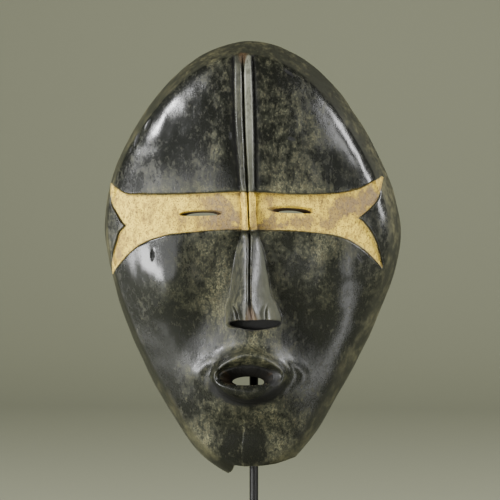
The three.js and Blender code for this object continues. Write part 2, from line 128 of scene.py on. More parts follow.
# Mouth: lenses around its centre, each with half its length and how far and how roundly it bows
MOUTH = {"x": 1.2, "h": 56.5}
OPENING = {"x": -1, "h": 56.5, "half length": 15, "up": 5.3, "down": 4.5, "up power": 2.3, "down power": 2.6,
           "behind": {"x": 0.1, "h": -3.3, "length": 0.72, "height": 0.625}}
LIPS = {"half length": 20.2, "up": 13.4, "down": 14.8, "up power": 1.55, "down power": 1.9}
MUZZLE_FOLD = {"half length": 28.9, "up": 15.8, "down": 19, "up power": 1.5, "down power": 1.8}
FOLD_RISE = 1.0
FOLD_WIDTH = 2.4

# Height of each lip over the face, by how far out from the opening (0) to the lip's outline (1)
UPPER_LIP = [(2.4, 0), (1.7, 0.8), (1.3, 3.0), (1.08, 6.2), (0.9, 7.8), (0.7, 6.9), (0.4, 4.4), (0, 2.0)]
LOWER_LIP = [(1.7, 0), (1.3, 0), (1.08, 0.8), (0.92, 4.2), (0.72, 7.2), (0.5, 8.0), (0.22, 7.4), (0, 4.6)]

# Broken edge of the chin, as (x, height), and the small cuts and pits that use has left:
# x, h, half length, half width, depth, and the turn of the cut from upright in degrees
BREAK_EDGE = [(-12.6, -0.4), (-11, 0.4), (-9.9, 1.7), (-9.3, 3.6), (-9.3, 5.2), (-3, 4.5), (5, 4.7),
              (14.5, 5.9), (24, 8.6), (28, 8)]
SCARS = [
    (-55.2, 193.6, 3.2, 0.8, 0.55, 25),
    (-61.4, 185.4, 3.8, 0.7, 0.4, 20),
    (-64.7, 179.9, 1.6, 0.6, 0.3, 10),
    (22.2, 221.5, 3.2, 0.7, 0.6, -55),
    (-52.2, 122.8, 2.4, 0.7, 1.1, 5),
    (-9.4, 187.6, 2.2, 0.8, 0.25, 0),
    (60.5, 121.0, 2.6, 0.5, 0.3, -35),
    (24.0, 186.0, 2.0, 0.9, 0.3, -70),
]
CRACK = {"top": (-2.9, 37), "bottom": (-4.8, 0), "half width": 0.5, "depth": 0.2, "dust": 1.4}

# Where handling and time have changed the finish: x, h, spread across, spread along, how strongly.
# Above nought the wax is worn off to a dry olive brown, below it the smoke black lies thick.
WEAR = {
    "left of the nose": (-15, 106, 5, 18, 1.3),
    "right edge of the nose": (15, 104, 2.5, 16, 0.7),
    "right of the nose": (25, 108, 7, 20, -1.5),
    "over the lips": (-2, 74, 17, 5, 1.1),
    "left corner of the mouth": (-26, 60, 6, 7, -0.3),
    "under the right eye": (38, 127.5, 13, 6, 2.2),
    "chin on the left": (-28, 20, 7, 10, 1.5),
    "left of the crack": (-12, 18, 5, 10, -1.3),
    "chin on the right": (15, 19, 5, 8, 1.4),
    "chin under the lip": (2, 33, 14, 4, 0.6),
    "middle of the chin": (4, 16, 6, 9, -1.4),
    "upper lip": (-5, 65, 8, 3.5, 0.5),
    "lower lip": (1, 50, 12, 4, -1.1),
    "right corner of the lips": (17, 57, 4, 4, -0.5),
    "brow over the left eye": (-42, 167, 18, 6, 0.1),
    "edge over the left eye": (-32, 158, 24, 1.8, 1.0),
    "brow over the right eye": (30, 158.4, 24, 1.8, 1.6),
    "left of the ridge": (-17, 184, 3.5, 13, 0.8),
    "close by the ridge": (-9, 172, 3, 18, -1.2),
    "close by the ridge on the right": (10, 176, 4, 22, -0.6),
    "right forehead": (30, 190, 16, 15, 0.5),
    "left forehead": (-32, 188, 19, 20, -0.8),
    "left cheek by the mouth": (-33, 74, 9, 10, -0.9),
    "right of the mouth": (39, 68, 9, 15, -1.1),
    "right cheek": (40, 104, 10, 12, -0.4),
    "left jaw": (-50, 64, 9, 26, -2.0),
    "low on the left jaw": (-38, 38, 10, 12, -1.4),
    "low on the right jaw": (35, 38, 9, 12, -0.2),
    "left cheek": (-28, 108, 9, 18, 0.6),
    "left slope of the muzzle": (-24, 68, 9, 8, -0.6),
    "right slope of the muzzle": (22, 68, 7, 6, 0.6),
    "left cheekbone": (-54, 120, 10, 9, -1.3),
    "outer left cheek": (-64, 92, 8, 18, -1.1),
}

# Where hands have polished the wax, in the same terms
POLISHED = {
    "left edge of the forehead": (-47, 196, 15, 22, 1.0),
    "right edge of the forehead": (58, 184, 13, 22, 1.0),
    "left cheekbone": (-50, 116, 17, 16, 1.0),
    "left cheek": (-42, 80, 6, 17, 0.5),
    "right temple": (70, 145, 6, 12, 0.8),
    "right cheek": (52, 108, 10, 28, 0.7),
    "right corner of the mouth": (26, 60, 6, 7, 0.6),
}

# Dirt rubbed into the pale band, in the same terms
STAINS = {
    "beside the ridge": (-12, 147, 11, 14, 2.1),
    "right of the ridge": (12, 147, 6, 14, 0.6),
    "under the right eye": (26, 140.5, 14, 3.5, 1.9),
    "outer corner of the right eye": (56, 150.5, 9, 4.5, 3.0),
    "right upper horn": (66, 157, 5, 4, 1.8),
    "left eye": (-26, 141, 14, 4, 1.0),
    "left upper horn": (-70, 156, 6, 5, 0.5),
    "left lower horn": (-68, 128, 5, 5, 0.6),
}

# How finely the mask is divided
SPOKES = 320
FACE_RINGS = 80
SIDE_RINGS = 18
RIM_RINGS = 4
HOLLOW_RINGS = 34
RING_CROWDING = 0.85

# How far the cutters reach: past both sides of the wall, over the lips, before the face, and
# below the chin and behind the rim
HOLE_OVERRUN = 6
LIPS_OVER_HOLE = 3
FACE_FRONT = 120
CLEAR_OF_CHIN = -20

# What the wood's material is told at each point of the mask
TOLD = ("clay", "side", "hollow", "wear", "polish", "grey and painted sheen", "stain", "dark", "bare", "crest", "cavity")

# Painted shade: under the lower lip, from where to where in shares of the lips' outline it comes and
# goes; inside the mouth, how far left of its middle it thins out; beside its right corner
UNDER_LIP = {"comes": (0.72, 0.9), "goes": (1.02, 1.3), "down": (0, 8)}
MOUTH_SHADE_ENDS = (10, 13)
RIGHT_CORNER = {"across": 15.5, "up": -0.5, "width": 2.6, "height": 3.6}
BRIDGE_H = 158

# How far under the face's skin a point still counts as on the front, and still takes clay
FRONT_WITHIN = 5.5
CLAY_WITHIN = 3.6

# How light grey each strip of the ridge is, low down and what the crown adds, and the nose on its left
# slope and what its right slope adds: rubbed grey, with a painted sheen lightening the right side and the
# crown
GREY_FROM_H = 137
GREY_AND_SHEEN_STRIPS = {"right": (0.3, 0.7), "left": (0.13, 0.15)}
GREY_AND_SHEEN_NOSE = (0.11, 0.3)

# Camera: degrees to the right and above, metres off, and half the photograph's width there
CAMERA = {"azimuth": 3.4, "elevation": 3, "distance": 1.2, "half view": 0.13925}

# Lights: degrees to the right and above, metres off, width and height in metres, watts. Two
# broad ones give the main highlights, and the weak ones near the floor the dim glow of the cheeks.
LIGHTS = {
    "key_left": (-55, 29, 1.3, 0.15, 0.24, 32),
    "cheek_left": (-54.5, -7.5, 0.6, 0.23, 0.16, 6.6),
    "low_left": (-48, -26, 0.36, 0.08, 0.09, 0.12),
    "front_left": (-28, -3, 0.7, 0.42, 0.3, 2.0),
    "rim_right": (76, 22, 1.3, 0.22, 0.8, 34),
    "soft_right": (47, 25, 1.5, 0.42, 0.42, 9),
    "low_right": (41, -10, 0.45, 0.08, 0.2, 0.5),
    "floor_right": (53, -36, 0.27, 0.07, 0.07, 0.12),
}

# Floor in metres: where it starts before the object, where its sweep starts behind it, the
# sweep's radius, its top and half its width
FLOOR = {"near": -1.5, "sweep": 0.9, "radius": 0.5, "top": 2.2, "half width": 2}


def place(x, h, d):
    """A point of the mask's own frame in the scene, in metres."""
    return Vector((MASK_OFF_CENTRE + x, RIM_Y - d, CHIN_ABOVE_TABLE + h)) * MM


def unplace(co):
    """A point of the scene in the mask's own frame."""
    return co.x / MM - MASK_OFF_CENTRE, co.z / MM - CHIN_ABOVE_TABLE, RIM_Y - co.y / MM


def clamp01(t):
    return min(1.0, max(0.0, t))


def bell(t):
    """1 at nought, falling away smoothly on both sides."""
    return math.exp(-0.5 * t * t)


def smoothstep(low, high, value):
    """From 0 at low to 1 at high, which may be the smaller of the two."""
    t = clamp01((value - low) / (high - low))
    return t * t * (3 - 2 * t)


def along(stations, at):
    """Value on a smooth curve through stations that are listed in falling order."""
    last = len(stations) - 1
    i = 0
    while i < last - 1 and at < stations[i + 1][0]:
        i += 1
    (a1, v1), (a2, v2) = stations[i], stations[i + 1]
    t = clamp01((at - a1) / (a2 - a1))
    before, after = stations[max(0, i - 1)], stations[min(last, i + 2)]
    m1 = (v2 - before[1]) / (a2 - before[0]) * (a2 - a1)
    m2 = (after[1] - v1) / (after[0] - a1) * (a2 - a1)
    return ((2 * t**3 - 3 * t * t + 1) * v1 + (t**3 - 2 * t * t + t) * m1
            + (3 * t * t - 2 * t**3) * v2 + (t**3 - t * t) * m2)


def reach(angle):
    """Distance from the centre to the widest outline, in a direction."""
    count = len(OUTLINE_RADII)
    turn = angle / (2 * math.pi) % 1 * count
    i = int(turn)
    f = turn - i
    weights = ((1 - f) ** 3, 3 * f**3 - 6 * f * f + 4, -3 * f**3 + 3 * f * f + 3 * f + 1, f**3)
    return sum(w * OUTLINE_RADII[(i + k - 1) % count] for k, w in enumerate(weights)) / 6


def edge_inset(angle):
    """How far the face's edge lies inside the widest outline."""
    inset = EDGE_INSET["mean"] + EDGE_INSET["right"] * math.cos(angle)
    return inset + EDGE_INSET["ends"] * math.sin(angle) ** 2


def around(value, angle):
    """A value with a mean that grows towards the crown and towards the viewer's right."""
    return value["mean"] + value["crown"] * math.sin(angle) + value.get("right", 0) * math.cos(angle)


def how_far_out(x, h):
    """How far a point is on its way from the middle of the face (0) to the edge (1)."""
    angle = math.atan2(h - OUTLINE_CENTRE_H, x)
    return min(1.0, math.hypot(x, h - OUTLINE_CENTRE_H) / (reach(angle) - edge_inset(angle)))


def face_depth(x, h):
    """Depth of the face's front without ridge, nose and lips."""
    angle = math.atan2(h - OUTLINE_CENTRE_H, x)
    out = how_far_out(x, h)
    rise = DOME_RISE
    for mx, mh, lift, across, upward in MOUNDS.values():
        rise += lift * bell((x - mx) / across) * bell((h - mh) / upward)
    roll_power = around(ROLL_POWER, angle)
    share = around(ROLL_SHARE, angle)
    fall = (1 - share) * out**DOME_POWER + share * out**roll_power
    return around(EDGE_DEPTH, angle) + rise * (1 - fall)


def ridge_and_nose(x, h):
    """Height of the ridge and nose over the face, with the channels cut beside the ridge."""
    if h > CROWN_H + 1 or h < NOSE_TIP_H - NOSE_HEEL or abs(x) > 24:
        return 0.0
    height = max(h, NOSE_TIP_H)
    offset = x - along(RIDGE_CENTRE, height)
    half = along(RIDGE_HALF_WIDTH, height)
    out = abs(offset) / half
    on_forehead = smoothstep(132, 140, h)
    top = 0.0
    if out < 1:
        wing = smoothstep(WING_SPAN[0], WING_SPAN[1], height)
        lobe = WING_RISE * bell((out - WING_PLACE) / WING_WIDTH)
        crease = CREASE_DEPTH * bell((out - along(CREASE_PLACE, height)) / CREASE_WIDTH)
        roof = RIDGE_ROOF["left" if offset < 0 else "right"]
        section = 1 - roof * out - (1 - roof) * out ** along(RIDGE_ROUNDING, height)
        top = along(RIDGE_RISE, height) * section + wing * (lobe - crease) * (1 - out**8)
        top -= along(GROOVE_DEPTH, height) * bell(1.4 * offset / along(GROOVE_HALF_WIDTH, height))
        top -= GROOVE_BEVEL["depth"] * max(0, 1 - abs(offset) / GROOVE_BEVEL["width"])
    else:
        top = -on_forehead * CHANNEL["depth"] * math.exp(-(abs(offset) - half) / CHANNEL["width"])
    heel = smoothstep(NOSE_TIP_H - NOSE_HEEL, NOSE_TIP_H, h)
    crown = 1 - smoothstep(CROWN_H - 0.8, CROWN_H + 0.8, h)
    return top * heel * crown


def lens_norm(lens, across, up):
    """How far out of a lens a point is: 1 on its outline, and in proportion along any ray."""
    side = "up" if up >= 0 else "down"
    power = lens[side + " power"]
    return (abs(across / lens["half length"]) ** power + abs(up / lens[side]) ** power) ** (1 / power)


def lips(x, h):
    """Height of the lips and of the fold around them over the face."""
    across, up = x - MOUTH["x"], h - MOUTH["h"]
    from_fold = lens_norm(MUZZLE_FOLD, across, up)
    if from_fold > 1.6:
        return 0.0
    distance = max(0.01, math.hypot(across, up))
    from_opening = max(1.0, lens_norm(OPENING, x - OPENING["x"], up))
    inner = distance / from_opening
    outer = distance / max(0.01, lens_norm(LIPS, across, up))
    out = (distance - inner) / (outer - inner) if from_opening > 1 else 0.0
    towards_upper = smoothstep(-0.35, 0.35, up / distance)
    rise = along(LOWER_LIP, out) * (1 - towards_upper) + along(UPPER_LIP, out) * towards_upper
    past_fold = distance - distance / max(0.01, from_fold)
    beside = smoothstep(-0.5, 0.1, up / distance) * smoothstep(3, 17, abs(across))
    return rise + FOLD_RISE * bell(past_fold / FOLD_WIDTH) * beside


def band_sink(x, h):
    """How far a point is inside the band's outline in millimetres, and how far below the forehead's edge."""
    if not 105 < h < 172:
        return -9.0, 99.0
    top = along(BAND_TOP[::-1], x) - h
    bottom = h - along(BAND_BOTTOM[::-1], x)
    left = (x - along(LEFT_END, h)) * BAND_END_LEAN
    right = (along(RIGHT_END, h) - x) * BAND_END_LEAN
    slope = 1 if abs(x) < BAND_OUTER["past"] else BAND_OUTER["lean"]
    return min(top * slope, bottom * slope, left, right) + BAND_MARGIN, top


def scars(x, h):
    """Depth of the small cuts, and how far a point is in one: 1 in its middle, 0 outside."""
    depth, mark = 0.0, 0.0
    for sx, sh, half_length, half_width, cut, turn in SCARS:
        if abs(x - sx) < 9 and abs(h - sh) < 9:
            a = math.radians(turn)
            lengthwise = (x - sx) * math.sin(a) + (h - sh) * math.cos(a)
            crosswise = (x - sx) * math.cos(a) - (h - sh) * math.sin(a)
            inside = bell(1.5 * lengthwise / half_length) * bell(1.5 * crosswise / half_width)
            depth += cut * inside
            mark = max(mark, inside)
    return depth, mark


def crack_x(h):
    """Where the crack runs at a height, with the wander of the grain."""
    (x1, h1), (x2, h2) = CRACK["top"], CRACK["bottom"]
    wander = 0.4 * math.sin(h * 0.3) + 0.12 * math.sin(h * 1.3)
    return x1 + (x2 - x1) * (h1 - h) / (h1 - h2) + wander


def crack(x, h):
    """How far a point is in the crack below the mouth: 1 in the middle of it, 0 outside."""
    if not CRACK["bottom"][1] < h < CRACK["top"][1] or abs(x) > 12:
        return 0.0
    return bell(1.4 * (x - crack_x(h)) / CRACK["half width"]) * smoothstep(37, 31, h)


def knife(x, h, d):
    """Unevenness that the adze and knife left."""
    broad = noise.noise(Vector((x, h, d)) / 15) * 0.45
    cuts = noise.noise(Vector((x, h * 0.7, d)) / 5.5 + Vector((7, 3, 1))) * 0.14
    return broad + cuts


def carved_depth(x, h):
    """Depth of the face's front with everything that is carved on it."""
    d = face_depth(x, h)
    ridge = ridge_and_nose(x, h)
    on_ridge = ridge > 1.5
    inside, below_forehead = band_sink(x, h)
    sunk = smoothstep(*BAND_WALL, inside) * (1 - smoothstep(0.95, 1, how_far_out(x, h)))
    d += ridge + lips(x, h) - scars(x, h)[0] - CRACK["depth"] * crack(x, h)
    d -= sunk * BAND_SINK * (ON_RIDGE["band"] if on_ridge else 1)
    undercut = UNDERCUT["depth"] * math.exp(-max(0, below_forehead) / UNDERCUT["fades over"])
    return d - sunk * undercut * (ON_RIDGE["undercut"] if on_ridge else 1)


def mask_blank():
    """A ball whose front pole is the middle of the face and whose back pole is the deepest
    point of the hollow. Its rings become the face, the side wall, the rim and the hollow."""
    rings = FACE_RINGS + SIDE_RINGS + RIM_RINGS + HOLLOW_RINGS
    bm = bmesh.new()
    bmesh.ops.create_uvsphere(bm, u_segments=SPOKES, v_segments=rings, radius=1)
    front = bm.verts.layers.float.new("front")
    for vert in bm.verts:
        ring = round(math.acos(max(-1, min(1, vert.co.z))) / math.pi * rings)
        angle = round(math.atan2(vert.co.y, vert.co.x) / (2 * math.pi) * SPOKES) / SPOKES * 2 * math.pi
        widest = reach(angle)
        edge = widest - edge_inset(angle)
        shallow = around(EDGE_DEPTH, angle)
        if ring <= FACE_RINGS:
            r, d = edge * (ring / FACE_RINGS) ** RING_CROWDING, 0
            vert[front] = 1.0 if ring < FACE_RINGS else 0.0
            if ring == FACE_RINGS:
                d = shallow
        elif ring <= FACE_RINGS + SIDE_RINGS:
            d = shallow * (1 - (ring - FACE_RINGS) / SIDE_RINGS)
            fore = clamp01((d - WIDEST_DEPTH) / (shallow - WIDEST_DEPTH))
            aft = clamp01((WIDEST_DEPTH - d) / WIDEST_DEPTH)
            bulge = around(SIDE_BULGE, angle)
            r = widest - edge_inset(angle) * fore**bulge - REAR_INSET * aft**2
        elif ring <= FACE_RINGS + SIDE_RINGS + RIM_RINGS:
            across = (ring - FACE_RINGS - SIDE_RINGS) / RIM_RINGS
            r, d = widest - REAR_INSET - RIM_WIDTH * across, 0
        else:
            inward = (rings - ring) / HOLLOW_RINGS
            out = math.sin(inward * math.pi / 2)
            r = (widest - REAR_INSET - RIM_WIDTH) * out
            x, h = r * math.cos(angle), OUTLINE_CENTRE_H + r * math.sin(angle)
            d = max(0, (face_depth(x, h) - WALL) * (1 - out**HOLLOW_CORNER) ** 0.4)
        vert.co = (r * math.cos(angle), -d, OUTLINE_CENTRE_H + r * math.sin(angle))
    return bm, front


def refine(bm, front, wanted, longest):
    """Divides the long edges of the face's flat pattern where wanted() asks for more detail."""
    for _ in range(4):
        edges = [e for e in bm.edges
                 if all(v[front] > 0.99 for v in e.verts) and e.calc_length() > longest
                 and all(wanted(v.co.x, v.co.z) for v in e.verts)]
        if not edges:
            break
        bmesh.ops.subdivide_edges(bm, edges=edges, cuts=1, use_grid_fill=True)


def near_ridge_or_nose(x, h):
    if not NOSE_TIP_H - 8 < h < CROWN_H + 2:
        return False
    height = max(h, NOSE_TIP_H)
    return abs(x - along(RIDGE_CENTRE, height)) < along(RIDGE_HALF_WIDTH, height) + 3.5


def near_nostrils(x, h):
    return NOSE_TIP_H - 2 < h < WING_SPAN[0] + 1 and near_ridge_or_nose(x, h)


def near_groove(x, h):
    if not NOSE_TIP_H - 8 < h < CROWN_H + 2:
        return False
    height = max(h, NOSE_TIP_H)
    return abs(x - along(RIDGE_CENTRE, height)) < along(GROOVE_HALF_WIDTH, height) + 0.5


def near_lips(x, h):
    return lens_norm(LIPS, x - MOUTH["x"], h - MOUTH["h"]) < 1.3


def near_fold(x, h):
    return lens_norm(MUZZLE_FOLD, x - MOUTH["x"], h - MOUTH["h"]) < 1.25


def near_band_edge(x, h):
    return abs(band_sink(x, h)[0]) < 1.8


def near_crack(x, h):
    return abs(x - crack_x(h)) < 2.4 and h < 38


def near_scar(x, h):
    return any(math.hypot(x - s[0], h - s[1]) < s[2] + 2 for s in SCARS)


def mask_body():
    """The carved block before anything is cut through it, with more detail where the carving is fine."""
    bm, front = mask_blank()
    refine(bm, front, near_ridge_or_nose, 0.5)
    refine(bm, front, near_fold, 1.1)
    refine(bm, front, near_lips, 0.8)
    refine(bm, front, near_band_edge, 0.6)
    refine(bm, front, near_scar, 0.5)
    refine(bm, front, near_nostrils, 0.4)
    refine(bm, front, near_groove, 0.3)
    refine(bm, front, near_crack, 0.35)
    for vert in bm.verts:
        x, h, d = vert.co.x, vert.co.z, -vert.co.y
        if vert[front] > 0.99:
            d = carved_depth(x, h)
        vert.co = place(x, h, d)
    bmesh.ops.triangulate(bm, faces=[f for f in bm.faces if len(f.verts) > 4])
    bm.normal_update()
    for vert in bm.verts:
        x, h, d = unplace(vert.co)
        gentle = 1.6 if d < 1 else 1
        vert.co += vert.normal * knife(x, h, d) * MM * gentle * (0 if abs(d) < 0.01 else 1)
    bmesh.ops.recalc_face_normals(bm, faces=bm.faces)
    return bm


def new_piece(name, bm):
    """Makes an object from a bmesh and frees it."""
    mesh = bpy.data.meshes.new(name)
    bm.to_mesh(mesh)
    bm.free()
    piece = bpy.data.objects.new(name, mesh)
    bpy.context.scene.collection.objects.link(piece)
    return piece


def flat_shape(outline):
    """A single face with the given outline, (x, h) points in order, at the depth of the rim."""
    bm = bmesh.new()
    bm.faces.new([bm.verts.new((x, 0, h)) for x, h in outline])
    return bm


def lens_outline(lens, steps=44):
    """Points of a lens outline around its centre, in order."""
    points = []
    for i in range(steps):
        angle = (i + 0.5) / steps * 2 * math.pi
        across = lens["half length"] * math.cos(angle)
        up = lens["up" if angle < math.pi else "down"] * math.sin(angle)
        reached = lens_norm(lens, across, up)
        points.append((across / reached, up / reached))
    return points


def cutter(name, bm, front, rear, x=0, h=0, behind=None, overrun=0):
    """Draws a flat shape out into a cutter between two depths, and past both by an overrun.
    Where behind is given, the shape has narrowed and drifted by it at the rear depth."""
    ahead = list(bm.verts)
    pushed = bmesh.ops.extrude_face_region(bm, geom=list(bm.faces))["geom"]
    back = [g for g in pushed if isinstance(g, bmesh.types.BMVert)]
    extra = overrun / (front - rear)
    for verts, share in ((ahead, -extra), (back, 1 + extra)):
        if behind:
            shrink = (1 + (behind["length"] - 1) * share, 1, 1 + (behind["height"] - 1) * share)
            bmesh.ops.scale(bm, verts=verts, vec=shrink)
            bmesh.ops.translate(bm, verts=verts, vec=(behind["x"] * share, 0, behind["h"] * share))
        bmesh.ops.translate(bm, verts=verts, vec=place(x, h, front - share * (front - rear)) / MM)
    bmesh.ops.scale(bm, verts=bm.verts, vec=(MM, MM, MM))
    bmesh.ops.recalc_face_normals(bm, faces=bm.faces)
    return new_piece(name, bm)


def hole_cutter(name, hole, proud):
    """A cutter for a hole with its outline at a height over the face, narrower behind the wall."""
    skin = face_depth(hole["x"], hole["h"])
    return cutter(name, flat_shape(lens_outline(hole)), skin + proud, skin - WALL,
                  hole["x"], hole["h"], hole["behind"], HOLE_OVERRUN)


def carve_away(piece, cutters):
    """Takes the cutters' shapes out of a piece and removes them."""
    for blade in cutters:
        cut = piece.modifiers.new("cut", "BOOLEAN")
        cut.operation = "DIFFERENCE"
        cut.solver = "MANIFOLD"
        cut.object = blade
    bpy.context.view_layer.update()
    carved = bpy.data.meshes.new_from_object(piece.evaluated_get(bpy.context.evaluated_depsgraph_get()))
    piece.modifiers.clear()
    piece.data = carved
    for blade in cutters:
        bpy.data.objects.remove(blade)


def carve_mask():
    """The mask's block with its eyes, mouth, nostrils and the missing piece of the chin cut away."""
    mask = new_piece("carved_mask", mask_body())
    pocket = NOSTRIL_POCKET
    pocket_floor = face_depth(pocket["x"], pocket["h"]) - POCKET_BELOW_FACE
    chin = [(BREAK_EDGE[0][0], CLEAR_OF_CHIN)] + BREAK_EDGE + [(BREAK_EDGE[-1][0], CLEAR_OF_CHIN)]
    blades = [hole_cutter("eye_cutter", eye, -BAND_SINK) for eye in EYES]
    blades.append(hole_cutter("mouth_cutter", OPENING, LIPS_OVER_HOLE))
    blades.append(cutter("nostril_cutter", flat_shape(lens_outline(pocket)), pocket_floor + POCKET_LENGTH,
                         pocket_floor, pocket["x"], pocket["h"]))
    blades.append(cutter("chin_cutter", flat_shape(chin), FACE_FRONT, CLEAR_OF_CHIN))
    carve_away(mask, blades)
    return mask


def spread(places, x, h):
    """What the places listed around a point add up to there."""
    return sum(amount * bell((x - px) / across) * bell((h - ph) / upward)
               for px, ph, across, upward, amount in places.values())


def curvature(mesh):
    """How sharply the surface bends at each point, in 1/m, above nought on crests."""
    pull = [Vector() for _ in mesh.vertices]
    linked = [[] for _ in mesh.vertices]
    for edge in mesh.edges:
        a, b = edge.vertices
        between = mesh.vertices[b].co - mesh.vertices[a].co
        between /= max(between.length_squared, 1e-12)
        pull[a] += between
        pull[b] -= between
        linked[a].append(b)
        linked[b].append(a)
    bend = [-2 * pull[v.index].dot(v.normal) / max(1, len(linked[v.index])) for v in mesh.vertices]
    for _ in range(2):
        bend = [(bend[i] + sum(bend[j] for j in near)) / (1 + len(near)) for i, near in enumerate(linked)]
    return bend


def painted_recess_shade(x, h, d, skin):
    """Painted shade where shadow falls: under the nose and lips, in the mouth, beside the ridge, on the eye
    slits' walls and in the cuts.
    """
    dark = 0.0
    pocket = lens_norm(NOSTRIL_POCKET, x - NOSTRIL_POCKET["x"], h - NOSTRIL_POCKET["h"])
    if d > skin - POCKET_BELOW_FACE - 1:
        dark = max(dark, 1 - smoothstep(1.0, 1.12, pocket))
    across, up = x - OPENING["x"], h - OPENING["h"]
    from_lips = lens_norm(LIPS, across, up)
    if up < 0:
        below = smoothstep(*UNDER_LIP["comes"], from_lips) * smoothstep(*UNDER_LIP["down"], -up)
        dark = max(dark, below * (1 - smoothstep(*UNDER_LIP["goes"], from_lips)))
    lowest = -1 if d > skin - WALL else -6
    if up > lowest and from_lips < 1 and d < skin + 3:
        dark = max(dark, 1 - smoothstep(*MOUTH_SHADE_ENDS, -across))
    corner = bell((across - RIGHT_CORNER["across"]) / RIGHT_CORNER["width"])
    corner *= bell((up - RIGHT_CORNER["up"]) / RIGHT_CORNER["height"])
    dark = max(dark, 0.8 * smoothstep(0.15, 0.7, corner))
    if BRIDGE_H < h < CROWN_H:
        beside = abs(x - along(RIDGE_CENTRE, h)) - along(RIDGE_HALF_WIDTH, h)
        dark = max(dark, smoothstep(-0.5, 0, beside) * math.exp(-max(0, beside) / CHANNEL["width"]))
    for eye in EYES:
        if d < skin - BAND_SINK - 0.4:
            dark = max(dark, 1 - smoothstep(1.05, 1.3, lens_norm(eye, x - eye["x"], h - eye["h"])))
    return max(dark, smoothstep(0.15, 0.5, scars(x, h)[1]))


def bared(x, h, d, skin):
    """Where the wood itself shows brown: crown of the ridge, foot of the nose's groove, mouth's corners."""
    height = max(h, NOSE_TIP_H)
    groove = bell((x - along(RIDGE_CENTRE, height)) / along(GROOVE_HALF_WIDTH, height))
    crown = groove * smoothstep(CROWN_H - 7, CROWN_H - 3, h) * (h < CROWN_H + 1)
    foot = groove * smoothstep(NOSE_TIP_H + 10, NOSE_TIP_H + 4, h) * (h > NOSE_TIP_H - 1 and d > skin + 8)
    across, up = x - OPENING["x"], h - OPENING["h"]
    in_mouth = lens_norm(LIPS, across, up) < 0.75 and d < skin + 2.6
    corner = smoothstep(9.5, 11.5, abs(across)) * smoothstep(3.5, 1.5, up) if in_mouth else 0
    corner *= 1 if across < 0 else 0.35
    return max(crown, foot, corner)


def grey_and_sheen(x, h):
    """How light grey the ridge and nose are: rubbed grey, with a painted sheen that makes it most on the
    right strip and at the crown.
    """
    height = max(h, NOSE_TIP_H)
    offset = x - along(RIDGE_CENTRE, height)
    if h > GREY_FROM_H:
        low, crown = GREY_AND_SHEEN_STRIPS["right" if offset > 0 else "left"]
        return low + crown * smoothstep(160, 215, h)
    left, right = GREY_AND_SHEEN_NOSE
    return left + right * smoothstep(2, 8, offset)


def surface_values(mask):
    """Stores on the mesh what the wood's material needs to know at each point."""
    mesh = mask.data
    values = {name: [0.0] * len(mesh.vertices) for name in TOLD}
    bend = curvature(mesh)
    for i, vert in enumerate(mesh.vertices):
        x, h, d = unplace(vert.co)
        angle = math.atan2(h - OUTLINE_CENTRE_H, x)
        out = math.hypot(x, h - OUTLINE_CENTRE_H)
        edge = reach(angle) - edge_inset(angle)
        skin = face_depth(x, h)
        on_front = out < edge + 1 and d > skin - FRONT_WITHIN
        if (on_front and d > skin - CLAY_WITHIN) or (out >= edge and d > WIDEST_DEPTH):
            values["clay"][i] = clamp01((band_sink(x, h)[0] + 4) / 8)
        at_jaw = smoothstep(0.35, -0.6, math.sin(angle))
        softness = 0.8 + 3.2 * at_jaw
        values["side"][i] = (1 - 0.45 * at_jaw) * smoothstep(-softness, softness * 0.6, out - edge)
        inward = not on_front and out < reach(angle) - REAR_INSET - RIM_WIDTH * 0.7
        values["hollow"][i] = 1.0 if inward or d < 0.4 else 0.0
        values["wear"][i] = spread(WEAR, x, h)
        if on_front:
            values["wear"][i] += CRACK["dust"] * crack(x, h)
        values["stain"][i] = spread(STAINS, x, h)
        if on_front:
            values["polish"][i] = clamp01(spread(POLISHED, x, h))
            values["grey and painted sheen"][i] = smoothstep(0.9, 1.8, ridge_and_nose(x, h)) * grey_and_sheen(x, h)
        in_mouth = lens_norm(LIPS, x - OPENING["x"], h - OPENING["h"]) < 0.7
        if d > skin - WALL or in_mouth:
            values["dark"][i] = painted_recess_shade(x, h, d, skin)
            values["bare"][i] = bared(x, h, d, skin)
        by_eye = min(lens_norm(eye, x - eye["x"], h - eye["h"]) for eye in EYES)
        values["crest"][i] = smoothstep(350, 1500, bend[i]) * smoothstep(1.2, 1.6, by_eye)
        values["cavity"][i] = smoothstep(-350, -1500, bend[i])
    for name, column in values.items():
        mesh.attributes.new(name, "FLOAT", "POINT").data.foreach_set("value", column)


def srgb(code):
    """A hex colour as linear values with full alpha."""
    channels = [int(code[i:i + 2], 16) / 255 for i in (1, 3, 5)]
    return [c / 12.92 if c <= 0.04045 else ((c + 0.055) / 1.055) ** 2.4 for c in channels] + [1]


def node(tree, kind, inputs=None, **settings):
    """Adds a node with its settings, and links or sets its inputs."""
    made = tree.nodes.new("ShaderNode" + kind)
    for key, value in settings.items():
        setattr(made, key, value)
    for key, value in (inputs or {}).items():
        if isinstance(value, bpy.types.NodeSocket):
            tree.links.new(value, made.inputs[key])
        else:
            made.inputs[key].default_value = value
    return made


def per_mm(size):
    """Noise scale for features of a size in millimetres."""
    return 1 / (size * MM)


